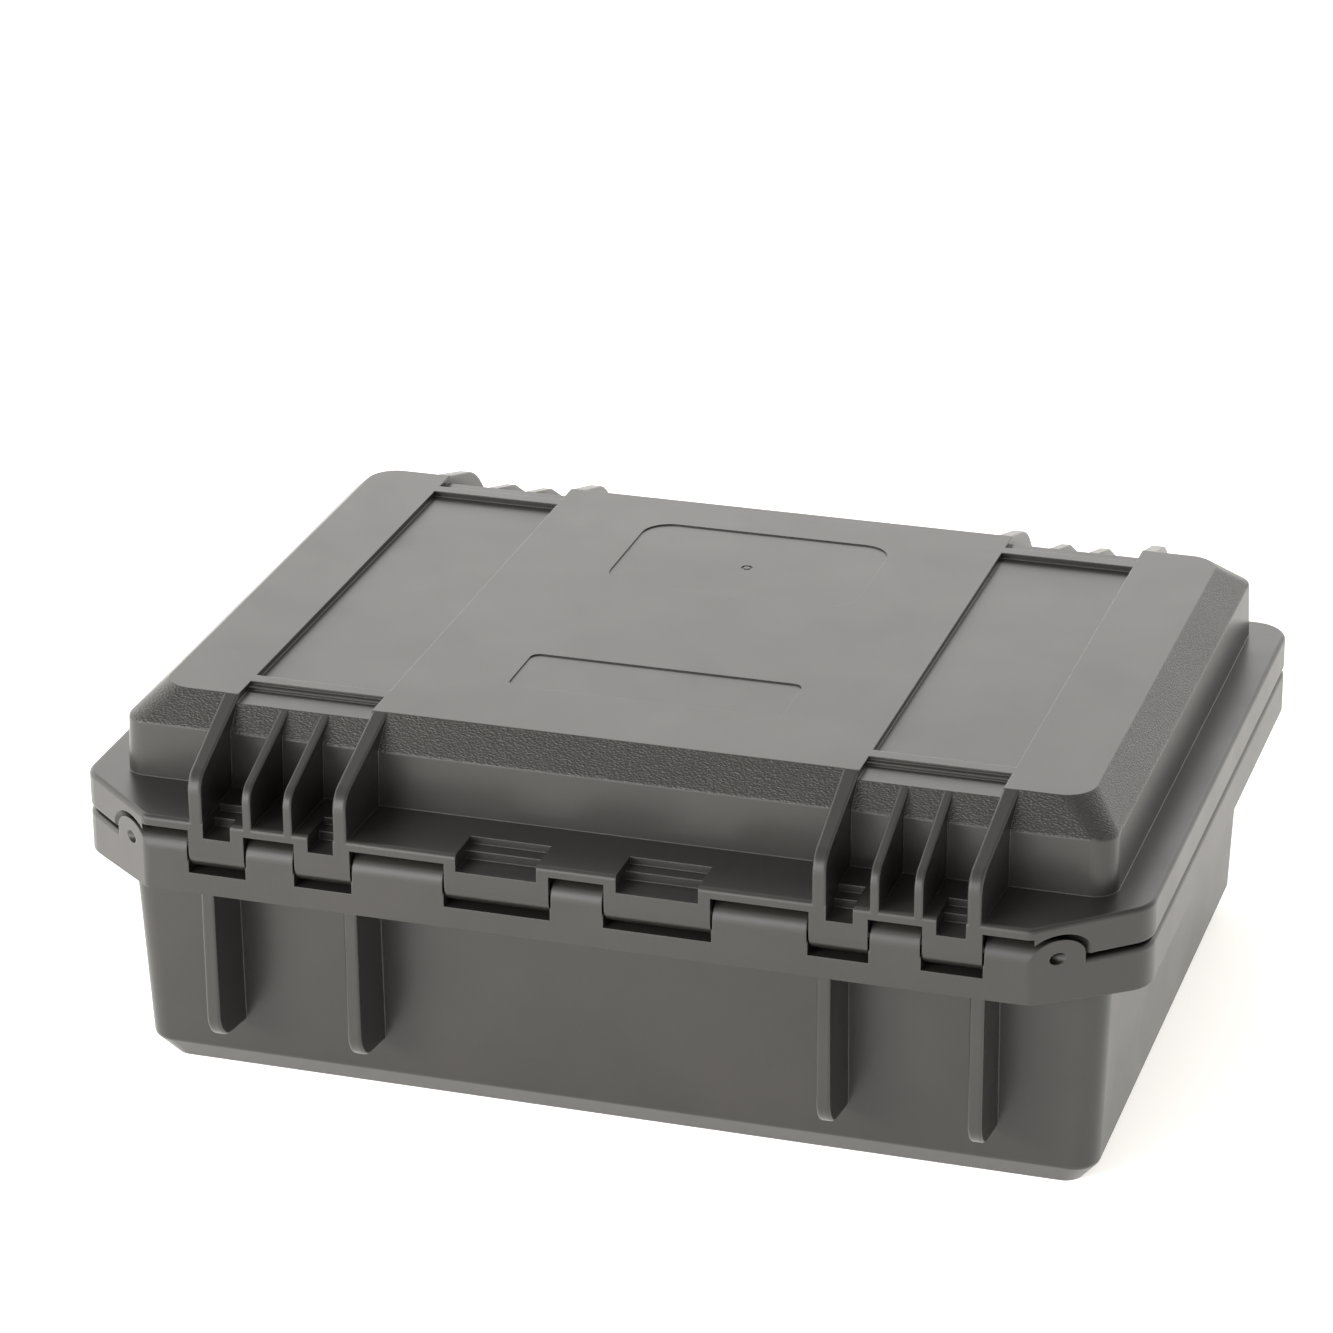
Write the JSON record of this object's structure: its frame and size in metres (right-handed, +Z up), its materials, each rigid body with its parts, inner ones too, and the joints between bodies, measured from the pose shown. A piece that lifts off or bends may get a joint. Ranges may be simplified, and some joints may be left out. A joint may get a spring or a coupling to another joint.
{
  "type": "drone carrying case",
  "caption": "Waterproof hard carrying case for a folding drone: hinged ribbed lid, snap latches, fold-out handle, purge valve and cut foam inside.",
  "frame": {"origin": "centre of the base shell's flat underside, where the closed case stands", "axes": "+X across the width to the right of someone facing the latches, +Y from the latch side to the hinge side, +Z up"},
  "size_m": [0.413, 0.33, 0.155],
  "materials": {
    "shell_plastic": "satin",
    "latch_plastic": "satin",
    "seal_rubber": "satin",
    "grip_rubber": "matte",
    "pin_steel": "satin",
    "foam": "matte"
  },
  "bodies": {
    "base": {"base_shell": "shell_plastic", "hinge_pin_left": "pin_steel", "hinge_pin_right": "pin_steel", "handle_pin_left": "pin_steel", "handle_pin_right": "pin_steel", "valve_body": "latch_plastic", "valve_seal": "seal_rubber", "valve_nut": "latch_plastic", "foam_base_pad": "foam", "foam_base_tray": "foam", "padlock_guard_base_left": "pin_steel", "padlock_guard_base_right": "pin_steel"},
    "lid": {"lid_shell": "shell_plastic", "lid_seal": "seal_rubber", "foam_lid_pad": "foam", "padlock_guard_lid_left": "pin_steel", "padlock_guard_lid_right": "pin_steel", "latch_pin_left": "pin_steel", "latch_pin_right": "pin_steel"},
    "latch_left": {"latch_left": "latch_plastic"},
    "latch_right": {"latch_right": "latch_plastic"},
    "handle": {"handle_frame": "latch_plastic", "handle_grip": "grip_rubber"},
    "valve_knob": {"valve_knob": "latch_plastic"}
  },
  "joints": [
    {"name": "lid_hinge", "type": "hinge", "parent": "base", "child": "lid", "pos_m": [0, 0.1561, 0.1088], "axis": [-1, 0, 0], "range_deg": [0, 95]},
    {"name": "latch_left_swing", "type": "hinge", "parent": "lid", "child": "latch_left", "pos_m": [-0.12, -0.1525, 0.129], "axis": [-1, 0, 0], "range_deg": [0, 110]},
    {"name": "latch_right_swing", "type": "hinge", "parent": "lid", "child": "latch_right", "pos_m": [0.12, -0.1525, 0.129], "axis": [-1, 0, 0], "range_deg": [0, 110]},
    {"name": "handle_swing", "type": "hinge", "parent": "base", "child": "handle", "pos_m": [0, -0.15, 0.079], "axis": [-1, 0, 0], "range_deg": [-10, 100]},
    {"name": "valve_turn", "type": "hinge", "parent": "base", "child": "valve_knob", "pos_m": [0, -0.1346, 0.078], "axis": [0, -1, 0], "range_deg": [0, 270]}
  ]
}
